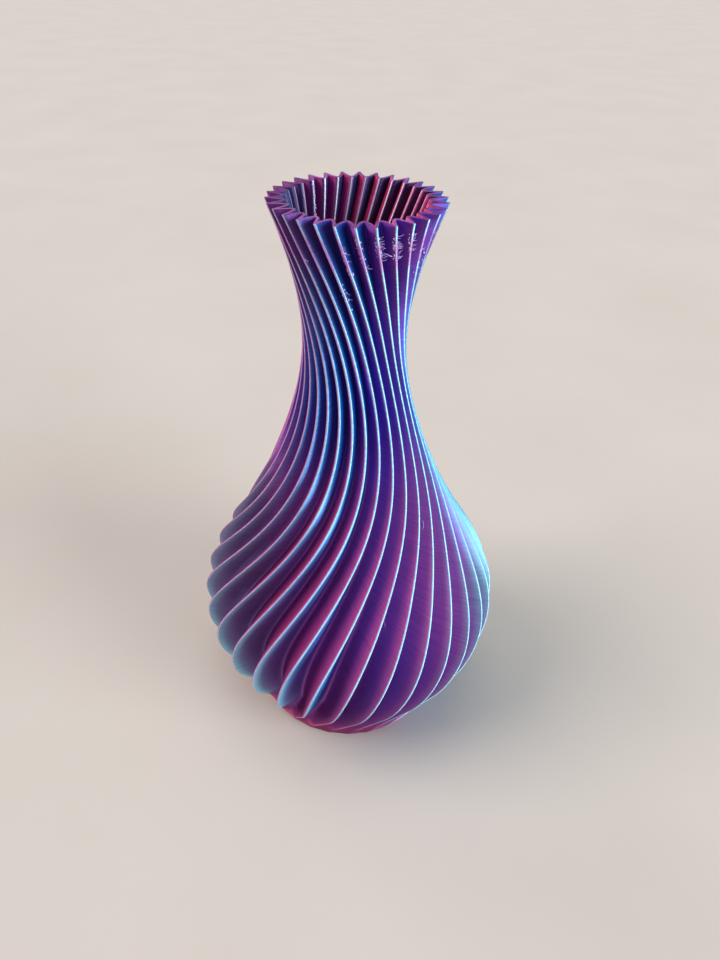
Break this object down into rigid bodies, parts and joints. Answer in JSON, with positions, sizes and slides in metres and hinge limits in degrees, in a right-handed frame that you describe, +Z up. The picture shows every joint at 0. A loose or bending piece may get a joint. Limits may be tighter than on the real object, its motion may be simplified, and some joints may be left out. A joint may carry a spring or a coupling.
{
  "type": "vase",
  "caption": "Tall bulb vase with a round belly, slim neck and flared mouth, its thin wall folded into sharp pleats that twist one way up the belly and back up the neck",
  "frame": {"origin": "centre of the round foot, on the surface that the vase stands on", "axes": "+Z runs up the axis of the vase to its mouth; one ridge ends at the rim at -Y, the front; +X is to the right of the front"},
  "size_m": [0.112, 0.1122, 0.2],
  "materials": {
    "silk_filament": "silk co-extruded filament that reads magenta, violet or cyan by the way a face points, with fine layer lines"
  },
  "bodies": {
    "root": {"base_floor": "silk_filament", "pleated_wall": "silk_filament"}
  },
  "joints": []
}
